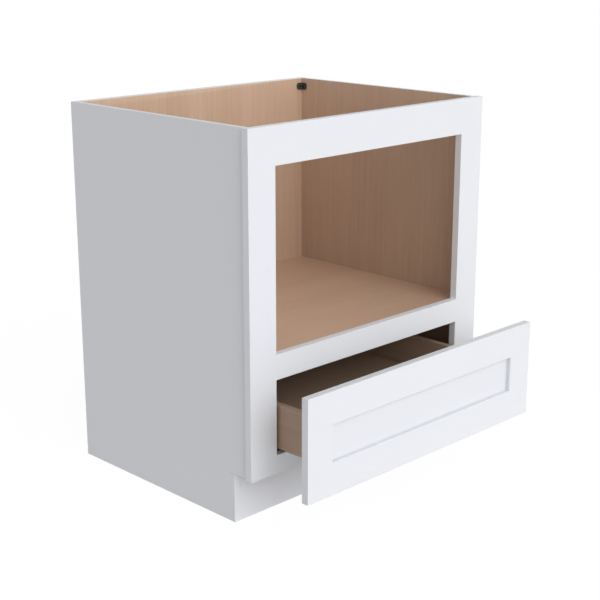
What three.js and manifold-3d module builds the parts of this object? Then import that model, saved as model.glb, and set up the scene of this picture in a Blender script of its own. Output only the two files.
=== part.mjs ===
// A face-framed base cabinet for a built-in microwave: an open-topped carcass with a deck under
// the microwave bay, and one recessed-panel drawer below it on concealed full-extension slides.
// Millimetres, +Z up, the room in front at -Y. The cabinet is laid out with x = 0 on its centre
// line, y = 0 at the face frame's front and z = 0 on the floor. The last lines shift it so that
// the origin is the middle of the footprint with the drawer drawn out.

import * as THREE from "three";
import { mergeVertices } from "three/addons/utils/BufferGeometryUtils.js";
import Module from "manifold-3d";

const wasm = await Module();
wasm.setup();

// ---------------------------------------------------------------- driving dimensions

const fit = 0.25; // glue line, and the play left between neighbouring pieces

// carcass
const width = 762;
const height = 876;
const depth = 610;
const sideThickness = 13;
const backThickness = 18;
const deckThickness = 18;
const floorThickness = 13;
const frameOverhang = 6.5; // the frame stands past each side panel by this much
const deckSetDown = 4.5; // the deck lies below the middle rail's top edge
const deckShoulder = 6; // cut from above at the deck's ends, so that a tongue enters the sides
const floorSetDown = 4.5; // the floor lies below the bottom rail's top edge
const dadoDepth = 6;
const rabbetWidth = 6.5;
const toeHeight = 115;
const toeRecess = 62;
const toeBoardThickness = 12.5;

// face frame
const frameThickness = 18;
const stileWidth = 76;
const topRailHeight = 83;
const middleRailHeight = 57;
const bottomRailHeight = 42;
const drawerOpeningHeight = 173;
const stileGrooveDepth = 5;
const tenonLength = 12;
const tenonThickness = 6;
const tenonShoulder = 6;

// corner brackets under the worktop
const bracketLeg = 19;
const bracketHeight = 18;
const bracketThickness = 3;
const bracketChamfer = 4;
const bracketBelowTop = 12;
const bracketScrewOut = 10.5;
const bracketSlotReach = 6;
const bracketSlotHeight = 3;
const bracketBridge = 4;

// drawer front
const drawnGap = 151.5; // from the face frame to the drawer front, drawn out as shown
const frontThickness = 18;
const frontSideReveal = 1;
const frontBottomReveal = 3;
const frontTopLap = 20; // how far the front laps over the middle rail
const frontBorder = 73.5;
const frontRecess = 11;
const panelLap = 10;
const bumperThickness = 2;
const bumperRadius = 5;
const bumperInset = 30;
const bumperDrop = 12;

// drawer box
const boxBehind = 61.25; // room between the closed box and the back panel
const boxHeight = 101;
const boxBoard = 16;
const boxSideGap = 7;
const boxFloorGap = 13.5;
const boxBottomThickness = 9;
const boxBottomLip = 13;
const boxGrooveDepth = 8;
const dovetailFlare = 2.5;
const dovetailPin = 8;
const frontTails = 3;
const backTails = 2;

// slides
const slideSteel = 1.5;
const slideWidth = 30;
const slideLip = 4;
const slideFoot = 16;
const slideBehind = 40.75; // room between the cabinet member and the back panel
const slideSideGap = 0.5;
const middleMemberSetback = 1.75; // behind the cabinet member's front end, closed
const middleMemberShort = 31.25; // ahead of the cabinet member's back end, closed
const flangePlay = 0.75;
const lipPlay = 0.5;
const rollerDiameter = 3;
const rollerLength = 20;
const rollerCount = 8;
const cageLength = 230;
const cageStart = 155;
const cagePlate = 1.25;
const cageWidth = 24;
const memberFrontGap = 4;
const memberBackGap = 2.5;

// locking clips under the drawer's front corners
const clipWidth = 30;
const clipLength = 48;
const clipHeight = 8;
const clipBridge = 3.5;
const clipPegRadius = 3;
const clipPegHeight = 6;
const clipPegInset = 8;
const leverThickness = 4;
const leverLength = 34;
const leverWidth = 9;
const leverTab = 14;
const pivotRadius = 2.5;
const pivotHead = 1.25;
const pivotHeadRadius = 4;
const hubRadius = 6;

// rear slide brackets
const socketPlate = 4;
const socketWidth = 34;
const socketHeight = 38;
const socketTongueWidth = 25;
const socketEngagement = 12;
const socketRib = 4;
const socketRibHeight = 22;
const socketScrewDown = 7;

// screws
const screwSides = 12;
const woodScrew = { shank: 2, head: 4, headHeight: 2.25 };
const smallScrew = { shank: 1.5, head: 3, headHeight: 1.75 };
const frontScrewLength = 27;
const frontScrewFromClip = 24.25;
const frontScrewSpacing = 110;
const footScrewLength = 12.5;
const footScrewBack = 40;
const socketScrewLength = 16;
const bracketScrewLength = 12;

// ---------------------------------------------------------------- derived sizes

const halfWidth = width / 2;
const sideOuter = halfWidth - frameOverhang;
const sideInner = sideOuter - sideThickness;
const openingHalf = halfWidth - stileWidth;
const backFace = depth - backThickness;

const bottomRailTop = toeHeight + bottomRailHeight;
const middleRailBase = bottomRailTop + drawerOpeningHeight;
const middleRailTop = middleRailBase + middleRailHeight;
const topRailBase = height - topRailHeight;
const deckTop = middleRailTop - deckSetDown;
const floorTop = bottomRailTop - floorSetDown;

const closedGap = bumperThickness + 2 * fit;
const drawn = drawnGap - closedGap;
const frontBack = -closedGap;
const frontFace = frontBack - frontThickness;
const frontHalf = halfWidth - frontSideReveal;
const frontBase = toeHeight + frontBottomReveal;
const frontTop = middleRailBase + frontTopLap;
const recessFace = frontFace + frontRecess;

const boxStart = frontBack + fit;
const boxEnd = backFace - boxBehind;
const boxOuter = openingHalf - boxSideGap;
const boxInner = boxOuter - boxBoard;
const boxBase = bottomRailTop + boxFloorGap;
const boxTop = boxBase + boxHeight;
const boxBottomUnder = boxBase + boxBottomLip;
const boxBottomTop = boxBottomUnder + boxBottomThickness;

const slideCentre = boxInner - slideSideGap - slideWidth / 2;
const slideFloor = floorTop + fit;
const slideFloorTop = slideFloor + slideSteel;
const lowerRollerTop = slideFloorTop + fit + rollerDiameter;
const lowerFlange = lowerRollerTop + fit;
const lowerLip = lowerFlange + slideSteel + lipPlay;
const upperPlateTop = boxBottomUnder - fit;
const upperPlate = upperPlateTop - slideSteel;
const upperFlangeTop = upperPlate - 2 * fit - rollerDiameter;
const upperLip = upperFlangeTop - slideSteel - lipPlay - slideSteel;
const slideStart = frameThickness + fit;
const slideEnd = backFace - slideBehind;

const clipOuter = slideCentre - slideWidth / 2 - fit;
const clipInner = clipOuter - clipWidth;
const frontScrewOuter = clipInner - frontScrewFromClip;
const frontScrewOffsets = [frontScrewOuter - frontScrewSpacing, frontScrewOuter];

const bracketTop = height - bracketBelowTop;
const bracketBase = bracketTop - bracketHeight;
const bracketMiddle = bracketTop - bracketHeight / 2;

// ---------------------------------------------------------------- shaping helpers

const beyond = 1; // cutters run past the faces that they open

function block(x0, x1, y0, y1, z0, z1) {
  const shape = new THREE.BoxGeometry(Math.abs(x1 - x0), Math.abs(y1 - y0), Math.abs(z1 - z0));
  return shape.translate((x0 + x1) / 2, (y0 + y1) / 2, (z0 + z1) / 2);
}

// A straight prism. Its outline is given in the two axes that it isn't drawn along, in X, Y, Z order.
function prism(axis, outline, start, end) {
  const shape = new THREE.Shape(outline.map(([u, v]) => new THREE.Vector2(u, v)));
  const body = new THREE.ExtrudeGeometry(shape, { depth: end - start, bevelEnabled: false });
  const x = new THREE.Vector3(1, 0, 0);
  const y = new THREE.Vector3(0, 1, 0);
  const z = new THREE.Vector3(0, 0, 1);
  const turn = new THREE.Matrix4();
  if (axis === "x") {
    turn.makeBasis(y, z, x).setPosition(start, 0, 0);
  } else if (axis === "y") {
    turn.makeBasis(x, z, y.negate()).setPosition(0, end, 0);
  } else {
    turn.makeBasis(x, y, z).setPosition(0, 0, start);
  }
  return body.applyMatrix4(turn);
}

// A round bar along X, Y or Z, from one point for a length that may be negative.
function rod(axis, radius, from, length, sides = screwSides) {
  const body = new THREE.CylinderGeometry(radius, radius, Math.abs(length), sides);
  if (axis === "x") body.rotateZ(Math.PI / 2);
  if (axis === "z") body.rotateX(Math.PI / 2);
  const middle = new THREE.Vector3(...from);
  middle[axis] += length / 2;
  return body.translate(middle.x, middle.y, middle.z);
}

function solid(shape) {
  const bare = new THREE.BufferGeometry();
  bare.setAttribute("position", shape.getAttribute("position").clone());
  if (shape.index) bare.setIndex(shape.index.clone());
  const merged = mergeVertices(bare);
  return new wasm.Manifold(new wasm.Mesh({
    numProp: 3,
    vertProperties: new Float32Array(merged.getAttribute("position").array),
    triVerts: new Uint32Array(merged.index.array),
  }));
}

function surface(body) {
  const { vertProperties, triVerts, numProp } = body.getMesh();
  const shape = new THREE.BufferGeometry();
  const points = [];
  for (let i = 0; i < vertProperties.length; i += numProp) {
    points.push(vertProperties[i], vertProperties[i + 1], vertProperties[i + 2]);
  }
  shape.setAttribute("position", new THREE.Float32BufferAttribute(points, 3));
  shape.setIndex([...triVerts]);
  return shape;
}

function join(...shapes) {
  return surface(shapes.map(solid).reduce((whole, next) => whole.add(next)));
}

function cut(shape, ...tools) {
  return surface(tools.map(solid).reduce((rest, tool) => rest.subtract(tool), solid(shape)));
}

// ---------------------------------------------------------------- finishes

const paint = [0xeeeff3, 0.45, 0];
const maple = [0xb4906f, 0.6, 0];
const zinc = [0x9a9da0, 0.35, 0.9];
const blackPlastic = [0x2d2f30, 0.5, 0];
const greyPlastic = [0x8b8e90, 0.5, 0];
const orangePlastic = [0xd0762c, 0.5, 0];
const clearRubber = [0xd9dcdc, 0.4, 0];
const blackScrew = [0x1f2021, 0.4, 0.6];

const cabinet = new THREE.Group();

// One group for each set of pieces that travels together: it holds them closed, and is drawn
// forwards by its share of the drawer's travel.
function drawnGroup(share) {
  const group = new THREE.Group();
  group.position.y = -drawn * share;
  cabinet.add(group);
  return group;
}

function piece(group, name, shape, [color, roughness, metalness]) {
  const finish = new THREE.MeshStandardMaterial({ color, roughness, metalness });
  const mesh = new THREE.Mesh(shape, finish);
  mesh.name = name;
  group.add(mesh);
  return mesh;
}

const carcass = drawnGroup(0);
const lowerCages = drawnGroup(1 / 4);
const middleMembers = drawnGroup(1 / 2);
const upperCages = drawnGroup(3 / 4);
const drawer = drawnGroup(1);

const hands = [["left", -1], ["right", 1]];

// ---------------------------------------------------------------- screws

// A pan-head screw that points along +Z from z = 0, where its head seats.
function screwShape({ shank, head, headHeight }, length) {
  const outline = [
    [0, length],
    [shank * 0.4, length - shank],
    [shank, length - 2.5 * shank],
    [shank, 0],
    [head, 0],
    [head, -headHeight * 0.45],
    [head * 0.7, -headHeight],
    [0, -headHeight],
  ];
  const points = outline.map(([radius, along]) => new THREE.Vector2(radius, -along));
  return new THREE.LatheGeometry(points, screwSides).rotateX(-Math.PI / 2);
}

function screw(group, name, size, length, place, direction, finish) {
  const mesh = piece(group, name, screwShape(size, length), finish);
  const way = new THREE.Vector3(...direction);
  mesh.quaternion.setFromUnitVectors(new THREE.Vector3(0, 0, 1), way);
  mesh.position.set(...place).addScaledVector(way, -fit);
}

// The hole that such a screw turns into, from its seat inwards.
function pilot(axis, size, place, length) {
  const way = Math.sign(length);
  const from = [...place];
  from["xyz".indexOf(axis)] -= way * beyond;
  return rod(axis, size.shank + fit, from, length + way * (beyond + fit));
}

// ---------------------------------------------------------------- corner brackets

const bracketCorners = [
  ["rear", backFace, -1],
  ["front", frameThickness, 1],
];

function cornerBracket(hand, seat, inwards) {
  const wall = hand * (sideInner - fit);
  const face = seat + inwards * fit;
  const along = (reach) => wall - hand * reach;
  const out = (reach) => face + inwards * reach;
  const angle = prism("z", [
    [along(0), out(0)],
    [along(bracketLeg), out(0)],
    [along(bracketLeg), out(bracketThickness)],
    [along(bracketThickness), out(bracketThickness)],
    [along(bracketThickness), out(bracketLeg)],
    [along(0), out(bracketLeg)],
  ], bracketBase, bracketTop);
  const tools = [];
  for (const [level, way] of [[bracketBase, 1], [bracketTop, -1]]) {
    const corner = (reach) => [
      [reach(bracketLeg - bracketChamfer), level],
      [reach(bracketLeg + beyond), level + way * (bracketChamfer + beyond)],
      [reach(bracketLeg + beyond), level - way * beyond],
      [reach(bracketLeg - bracketChamfer), level - way * beyond],
    ];
    const spanY = [out(-beyond), out(bracketThickness + beyond)].sort((a, b) => a - b);
    const spanX = [along(-beyond), along(bracketThickness + beyond)].sort((a, b) => a - b);
    tools.push(prism("y", corner(along), ...spanY));
    tools.push(prism("x", corner(out), ...spanX));
    const slot = level + way * bracketBridge;
    tools.push(block(
      along(-beyond), along(bracketSlotReach), out(-beyond), out(bracketSlotReach),
      slot, slot + way * bracketSlotHeight,
    ));
  }
  const seatX = [along(bracketScrewOut), out(bracketThickness), bracketMiddle];
  const seatY = [along(bracketThickness), out(bracketScrewOut), bracketMiddle];
  tools.push(pilot("y", smallScrew, seatX, -inwards * bracketThickness));
  tools.push(pilot("x", smallScrew, seatY, hand * bracketThickness));
  return { shape: cut(angle, ...tools), seatX, seatY };
}

// The holes that the bracket screws make in the side panels, and in the back panel or stiles.
function bracketPilots(hand, which, inSide) {
  return bracketCorners.filter(([end]) => which.includes(end)).map(([, seat, inwards]) => {
    const { seatX, seatY } = cornerBracket(hand, seat, inwards);
    if (inSide) return pilot("x", smallScrew, seatY, hand * bracketScrewLength);
    return pilot("y", smallScrew, seatX, -inwards * bracketScrewLength);
  });
}

for (const [handName, hand] of hands) {
  for (const [end, seat, inwards] of bracketCorners) {
    const { shape, seatX, seatY } = cornerBracket(hand, seat, inwards);
    const name = `${end}_${handName}_bracket`;
    piece(carcass, `corner_${name}`, shape, blackPlastic);
    screw(carcass, `${name}_cross_screw`, smallScrew, bracketScrewLength, seatX,
      [0, -inwards, 0], blackScrew);
    screw(carcass, `${name}_side_screw`, smallScrew, bracketScrewLength, seatY,
      [hand, 0, 0], blackScrew);
  }
}

// ---------------------------------------------------------------- carcass

// Each side panel is notched for the toe space, dadoed for the deck and the floor, and rabbeted
// for the back. Its front edge enters a groove in the back of the stile.
function sidePanel(hand) {
  const front = frameThickness - stileGrooveDepth + fit;
  const leg = toeRecess + toeBoardThickness + fit;
  const outline = [
    [front, height],
    [depth, height],
    [depth, 0],
    [leg, 0],
    [leg, toeHeight],
    [front, toeHeight],
  ];
  const faces = [hand * sideInner, hand * sideOuter].sort((a, b) => a - b);
  const panel = prism("x", outline, ...faces);
  const dado = (top, thickness) => block(
    hand * (sideInner - beyond), hand * (sideInner + dadoDepth), 0, backFace,
    top - thickness - fit, top + fit,
  );
  const rabbet = block(
    hand * (sideInner - beyond), hand * (sideInner + rabbetWidth), backFace - fit, depth + beyond,
    -beyond, height + beyond,
  );
  return cut(
    panel, rabbet, dado(deckTop - deckShoulder, deckThickness - deckShoulder),
    dado(floorTop, floorThickness), ...bracketPilots(hand, ["front", "rear"], true),
  );
}

function shelf(top, thickness, ...tools) {
  const half = sideInner + dadoDepth - fit;
  const slab = block(-half, half, frameThickness + fit, backFace - fit, top - thickness, top);
  return cut(slab, ...tools);
}

function microwaveDeck() {
  const shoulders = hands.map(([, hand]) => block(
    hand * (sideInner - fit), hand * (sideInner + dadoDepth), 0, backFace,
    deckTop - deckShoulder, deckTop + beyond,
  ));
  return shelf(deckTop, deckThickness, ...shoulders);
}

const socketScrewLevel = slideFloor + socketHeight - socketScrewDown;
const footScrewSide = slideCentre + slideWidth / 2 + slideFoot / 2;

function socketScrewSeat(hand) {
  return [hand * slideCentre, backFace - fit - socketPlate, socketScrewLevel];
}

function footScrewSeat(hand) {
  return [hand * footScrewSide, slideStart + footScrewBack, slideFloorTop];
}

function backPanel() {
  const half = sideInner + rabbetWidth - fit;
  const panel = block(-half, half, backFace, depth, 0, height);
  const holes = hands.flatMap(([, hand]) => [
    pilot("y", woodScrew, socketScrewSeat(hand), socketScrewLength),
    ...bracketPilots(hand, ["rear"], false),
  ]);
  return cut(panel, ...holes);
}

function cabinetFloor() {
  const holes = hands.map(([, hand]) => (
    pilot("z", woodScrew, footScrewSeat(hand), -footScrewLength)
  ));
  return shelf(floorTop, floorThickness, ...holes);
}

for (const [handName, hand] of hands) {
  piece(carcass, `side_panel_${handName}`, sidePanel(hand), paint);
}
piece(carcass, "back_panel", backPanel(), maple);
piece(carcass, "microwave_deck", microwaveDeck(), maple);
piece(carcass, "cabinet_floor", cabinetFloor(), maple);
piece(carcass, "toe_board", block(
  -sideOuter, sideOuter, toeRecess, toeRecess + toeBoardThickness, 0, toeHeight - fit,
), paint);

// ---------------------------------------------------------------- face frame

const rails = [
  ["top_rail", topRailBase, height],
  ["middle_rail", middleRailBase, middleRailTop],
  ["bottom_rail", toeHeight, bottomRailTop],
];
const tenonFront = (frameThickness - tenonThickness) / 2;
const tenonBack = tenonFront + tenonThickness;

function rail(base, top) {
  const shoulder = openingHalf - fit;
  const end = openingHalf + tenonLength;
  return join(
    block(-shoulder, shoulder, 0, frameThickness, base, top),
    block(-end, end, tenonFront, tenonBack, base + tenonShoulder, top - tenonShoulder),
  );
}

function stile(hand) {
  const post = block(hand * openingHalf, hand * halfWidth, 0, frameThickness, toeHeight, height);
  const groove = block(
    hand * (sideInner - fit), hand * (sideOuter + fit),
    frameThickness - stileGrooveDepth, frameThickness + beyond,
    toeHeight - beyond, height + beyond,
  );
  const mortises = rails.map(([, base, top]) => block(
    hand * (openingHalf - beyond), hand * (openingHalf + tenonLength + fit),
    tenonFront - fit, tenonBack + fit, base + tenonShoulder - fit, top - tenonShoulder + fit,
  ));
  return cut(post, groove, ...mortises, ...bracketPilots(hand, ["front"], false));
}

for (const [name, base, top] of rails) {
  piece(carcass, `frame_${name}`, rail(base, top), paint);
}
for (const [handName, hand] of hands) {
  piece(carcass, `frame_stile_${handName}`, stile(hand), paint);
}

// ---------------------------------------------------------------- drawer front

const borderInner = frontHalf - frontBorder;
const frontScrewLevel = boxBase + boxBottomLip / 2;
const frontScrewSeats = frontScrewOffsets.flatMap((offset) => [-offset, offset]).map((offset) => (
  [offset, boxStart + boxBoard, frontScrewLevel]
));

function frontStile(hand) {
  return cut(
    block(hand * borderInner, hand * frontHalf, frontFace, frontBack, frontBase, frontTop),
    block(
      hand * (borderInner - beyond), hand * (borderInner + panelLap),
      recessFace, frontBack + beyond, frontBase - beyond, frontTop + beyond,
    ),
  );
}

// A rail of the front: its ends lap behind the stiles, and its inner edge laps over the panel.
function frontRail(outer, inner, ...holes) {
  const way = Math.sign(outer - inner);
  const end = borderInner + panelLap - fit;
  const shoulders = hands.map(([, hand]) => block(
    hand * (borderInner - fit), hand * (end + beyond), frontFace - beyond, recessFace + fit,
    outer + way * beyond, inner - way * beyond,
  ));
  const rabbet = block(
    -end - beyond, end + beyond, recessFace, frontBack + beyond,
    inner + way * panelLap, inner - way * beyond,
  );
  const bar = block(-end, end, frontFace, frontBack, outer, inner);
  return cut(bar, ...shoulders, rabbet, ...holes);
}

function frontPanel() {
  const half = borderInner + panelLap - fit;
  const base = frontBase + frontBorder - panelLap + fit;
  const top = frontTop - frontBorder + panelLap - fit;
  return block(-half, half, recessFace + fit, frontBack, base, top);
}

const frontPilots = frontScrewSeats.map((seat) => pilot("y", woodScrew, seat, -frontScrewLength));

piece(drawer, "front_bottom_rail",
  frontRail(frontBase, frontBase + frontBorder, ...frontPilots), paint);
piece(drawer, "front_top_rail", frontRail(frontTop, frontTop - frontBorder), paint);
piece(drawer, "front_panel", frontPanel(), paint);
for (const [handName, hand] of hands) {
  piece(drawer, `front_stile_${handName}`, frontStile(hand), paint);
  const place = [hand * (frontHalf - bumperInset), frontBack + fit, frontTop - bumperDrop];
  piece(drawer, `bumper_${handName}`, rod("y", bumperRadius, place, bumperThickness, 24),
    clearRubber);
}
frontScrewSeats.forEach((seat, index) => {
  screw(drawer, `drawer_front_screw_${index + 1}`, woodScrew, frontScrewLength, seat,
    [0, -1, 0], zinc);
});

// ---------------------------------------------------------------- drawer box

// The dovetails at one end of a side board: centres and half-widths, and a tail's half-width at
// a distance from the board's end.
function tails(base, top, count) {
  const pitch = (top - base) / count;
  const centres = Array.from({ length: count }, (_, k) => base + (k + 0.5) * pitch);
  const half = (back) => (pitch - dovetailPin) / 2 - dovetailFlare * back / boxBoard;
  return { centres, half };
}

const backBase = boxBottomTop + fit;
const frontComb = tails(boxBase, boxTop, frontTails);
const backComb = tails(backBase, boxTop, backTails);

function combOutline({ centres, half }, end, inwards) {
  return centres.flatMap((centre) => [
    [end + inwards * (boxBoard + fit), centre - half(boxBoard)],
    [end, centre - half(0)],
    [end, centre + half(0)],
    [end + inwards * (boxBoard + fit), centre + half(boxBoard)],
  ]);
}

function boxSide(hand) {
  const frontShoulder = boxStart + boxBoard + fit;
  const backShoulder = boxEnd - boxBoard - fit;
  const outline = [
    [frontShoulder, boxBase],
    ...combOutline(frontComb, boxStart, 1),
    [frontShoulder, boxTop],
    [backShoulder, boxTop],
    ...combOutline(backComb, boxEnd, -1).reverse(),
    [backShoulder, backBase - fit],
    [boxEnd, backBase - fit],
    [boxEnd, boxBase],
  ];
  const faces = [hand * boxInner, hand * boxOuter].sort((a, b) => a - b);
  const groove = block(
    hand * (boxInner - beyond), hand * (boxInner + boxGrooveDepth),
    boxStart + boxBoard - boxGrooveDepth, boxEnd + beyond,
    boxBottomUnder - fit, boxBottomTop + fit,
  );
  return cut(prism("x", outline, ...faces), groove);
}

// The sockets that the tails leave in the board across one end of the box.
function sockets({ centres, half }, end, inwards) {
  const near = -beyond;
  const far = boxBoard + beyond;
  return hands.flatMap(([, hand]) => centres.map((centre) => {
    const outline = [
      [end + inwards * near, centre - half(near) - fit],
      [end + inwards * far, centre - half(far) - fit],
      [end + inwards * far, centre + half(far) + fit],
      [end + inwards * near, centre + half(near) + fit],
    ];
    const faces = [hand * (boxInner - fit), hand * (boxOuter + beyond)].sort((a, b) => a - b);
    return prism("x", outline, ...faces);
  }));
}

function boxFront() {
  const board = block(-boxOuter, boxOuter, boxStart, boxStart + boxBoard, boxBase, boxTop);
  const groove = block(
    -boxInner - fit, boxInner + fit,
    boxStart + boxBoard - boxGrooveDepth, boxStart + boxBoard + beyond,
    boxBottomUnder - fit, boxBottomTop + fit,
  );
  const holes = frontScrewSeats.map((seat) => pilot("y", woodScrew, seat, -frontScrewLength));
  return cut(board, groove, ...sockets(frontComb, boxStart, 1), ...holes);
}

function boxBack() {
  const board = block(-boxOuter, boxOuter, boxEnd - boxBoard, boxEnd, backBase, boxTop);
  return cut(board, ...sockets(backComb, boxEnd, -1));
}

const clipStart = boxStart + boxBoard + fit;
const clipEnd = clipStart + clipLength;
const clipTop = boxBottomUnder - fit;
const clipBase = clipTop - clipHeight;
const clipPegs = [clipStart + clipPegInset, clipEnd - clipPegInset];
const clipPegSide = clipInner + clipPegInset;

function boxBottom() {
  const half = boxInner + boxGrooveDepth - fit;
  const start = boxStart + boxBoard - boxGrooveDepth + fit;
  const slab = block(-half, half, start, boxEnd, boxBottomUnder, boxBottomTop);
  const holes = hands.flatMap(([, hand]) => clipPegs.map((y) => (
    rod("z", clipPegRadius + fit, [hand * clipPegSide, y, boxBottomUnder - beyond],
      clipPegHeight + beyond)
  )));
  return cut(slab, ...holes);
}

for (const [handName, hand] of hands) {
  piece(drawer, `drawer_side_${handName}`, boxSide(hand), maple);
}
piece(drawer, "drawer_box_front", boxFront(), maple);
piece(drawer, "drawer_box_back", boxBack(), maple);
piece(drawer, "drawer_bottom", boxBottom(), maple);

// ---------------------------------------------------------------- slides

const slideHalf = slideWidth / 2;
const channelHalf = slideHalf - slideSteel;
const lipHalf = slideHalf - slideLip;

// A lipped channel as outline points (u, z), with its plate at one level and its lips at another.
function channel(plateOuter, plateInner, lipNear, lipFar, foot) {
  const sole = foot ? [[slideHalf + foot, plateOuter], [slideHalf + foot, plateInner],
    [slideHalf, plateInner]] : [[slideHalf, plateOuter]];
  return [
    [-slideHalf, plateOuter],
    ...sole,
    [slideHalf, lipFar],
    [lipHalf, lipFar],
    [lipHalf, lipNear],
    [channelHalf, lipNear],
    [channelHalf, plateInner],
    [-channelHalf, plateInner],
    [-channelHalf, lipNear],
    [-lipHalf, lipNear],
    [-lipHalf, lipFar],
    [-slideHalf, lipFar],
  ];
}

function onSlide(hand, outline) {
  return outline.map(([u, z]) => [hand * (slideCentre + u), z]);
}

function cabinetMember(hand) {
  const outline = channel(
    slideFloor, slideFloorTop, lowerLip, lowerLip + slideSteel, slideFoot,
  );
  const bar = prism("y", onSlide(hand, outline), slideStart, slideEnd);
  return cut(bar, pilot("z", woodScrew, footScrewSeat(hand), -slideSteel - beyond));
}

function middleMember(hand) {
  const flange = channelHalf - flangePlay;
  const web = slideSteel / 2;
  const outline = [
    [-flange, lowerFlange],
    [flange, lowerFlange],
    [flange, lowerFlange + slideSteel],
    [web, lowerFlange + slideSteel],
    [web, upperFlangeTop - slideSteel],
    [flange, upperFlangeTop - slideSteel],
    [flange, upperFlangeTop],
    [-flange, upperFlangeTop],
    [-flange, upperFlangeTop - slideSteel],
    [-web, upperFlangeTop - slideSteel],
    [-web, lowerFlange + slideSteel],
    [-flange, lowerFlange + slideSteel],
  ];
  const start = slideStart + middleMemberSetback;
  return prism("y", onSlide(hand, outline), start, slideEnd - middleMemberShort);
}

function drawerMember(hand) {
  const outline = channel(upperPlateTop, upperPlate, upperLip + slideSteel, upperLip, 0);
  const start = boxStart + boxBoard + memberFrontGap;
  return prism("y", onSlide(hand, outline), start, boxEnd - memberBackGap);
}

// A flat cage with its rollers, between two members.
function rollerCage(hand, base) {
  const centre = hand * slideCentre;
  const middle = base + rollerDiameter / 2;
  const plate = block(
    centre - cageWidth / 2, centre + cageWidth / 2, cageStart, cageStart + cageLength,
    middle - cagePlate / 2, middle + cagePlate / 2,
  );
  const pitch = cageLength / rollerCount;
  const rollers = Array.from({ length: rollerCount }, (_, k) => rod(
    "x", rollerDiameter / 2,
    [centre - rollerLength / 2, cageStart + (k + 0.5) * pitch, middle], rollerLength,
  ));
  return join(plate, ...rollers);
}

for (const [handName, hand] of hands) {
  piece(carcass, `slide_cabinet_member_${handName}`, cabinetMember(hand), zinc);
  piece(lowerCages, `lower_roller_cage_${handName}`,
    rollerCage(hand, slideFloorTop + fit), greyPlastic);
  piece(middleMembers, `slide_middle_member_${handName}`, middleMember(hand), zinc);
  piece(upperCages, `upper_roller_cage_${handName}`,
    rollerCage(hand, upperFlangeTop + fit), greyPlastic);
  piece(drawer, `slide_drawer_member_${handName}`, drawerMember(hand), zinc);
  screw(carcass, `slide_foot_screw_${handName}`, woodScrew, footScrewLength,
    footScrewSeat(hand), [0, 0, -1], zinc);
}

// ---------------------------------------------------------------- rear slide brackets

// A plate on the back panel, with a tongue that enters the tail of the cabinet member.
function rearSocket(hand) {
  const centre = hand * slideCentre;
  const plateFront = backFace - fit - socketPlate;
  const tongueTop = lowerLip - lipPlay;
  const plate = block(
    centre - socketWidth / 2, centre + socketWidth / 2, plateFront, backFace - fit,
    slideFloor, slideFloor + socketHeight,
  );
  const tongue = block(
    centre - socketTongueWidth / 2, centre + socketTongueWidth / 2,
    slideEnd - socketEngagement, plateFront + beyond, slideFloorTop + fit, tongueTop,
  );
  const rib = prism("x", [
    [slideEnd + beyond, tongueTop - beyond],
    [plateFront + beyond, tongueTop - beyond],
    [plateFront + beyond, slideFloor + socketRibHeight],
  ], centre - socketRib / 2, centre + socketRib / 2);
  const hole = pilot("y", woodScrew, socketScrewSeat(hand), socketPlate + beyond);
  return cut(join(plate, tongue, rib), hole);
}

for (const [handName, hand] of hands) {
  piece(carcass, `rear_slide_bracket_${handName}`, rearSocket(hand), greyPlastic);
  screw(carcass, `rear_bracket_screw_${handName}`, woodScrew, socketScrewLength,
    socketScrewSeat(hand), [0, 1, 0], zinc);
}

// ---------------------------------------------------------------- locking clips

const pivotSide = (clipOuter + clipInner) / 2;
const pivotBack = clipEnd - hubRadius - fit;
const leverTop = clipBase - fit;
const leverBase = leverTop - leverThickness;

// The clip sits beside and in front of the drawer member, pegged into the drawer bottom, and
// carries the release lever on a headed pivot.
function lockingClip(hand) {
  const body = block(hand * clipInner, hand * clipOuter, clipStart, clipEnd, clipBase, clipTop);
  const bridge = block(
    hand * clipInner, hand * (boxInner - fit), clipStart, clipStart + clipBridge,
    clipBase, clipTop,
  );
  const pegs = clipPegs.map((y) => (
    rod("z", clipPegRadius, [hand * clipPegSide, y, clipTop - beyond], clipPegHeight + beyond - fit)
  ));
  const pivot = [hand * pivotSide, pivotBack, leverBase - fit - pivotHead];
  return join(
    body, bridge, ...pegs,
    rod("z", pivotRadius, pivot, clipBase + beyond - pivot[2]),
    rod("z", pivotHeadRadius, pivot, pivotHead),
  );
}

function releaseLever(hand) {
  const x = hand * pivotSide;
  const tip = pivotBack - leverLength;
  const arm = block(x - leverWidth / 2, x + leverWidth / 2, tip, pivotBack, leverBase, leverTop);
  const tab = block(
    x + hand * leverWidth / 2, x - hand * (leverWidth / 2 + leverTab), tip, tip + leverWidth,
    leverBase, leverTop,
  );
  const hub = rod("z", hubRadius, [x, pivotBack, leverBase], leverThickness, 20);
  const bore = rod("z", pivotRadius + fit, [x, pivotBack, leverBase - beyond],
    leverThickness + 2 * beyond);
  return cut(join(arm, tab, hub), bore);
}

for (const [handName, hand] of hands) {
  piece(drawer, `locking_clip_${handName}`, lockingClip(hand), greyPlastic);
  piece(drawer, `release_lever_${handName}`, releaseLever(hand), orangePlastic);
}

// ---------------------------------------------------------------- placing

// The footprint runs from the drawn-out front to the cabinet's back.
cabinet.position.y = -(depth + frontFace - drawn) / 2;

export default cabinet;
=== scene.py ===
# %% [markdown]
# # A base cabinet for a built-in microwave
# This lesson dresses a finished CAD model. The solids, their places and their joints are settled
# already, so each step here copies a solid, eases its edges, closes its painted joints and gives it
# the finish that the real board or fitting has. Everything is in metres. The room is at -Y, the
# wall at +Y, and the floor at z = 0.

# %% Load the frame
import math

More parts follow.
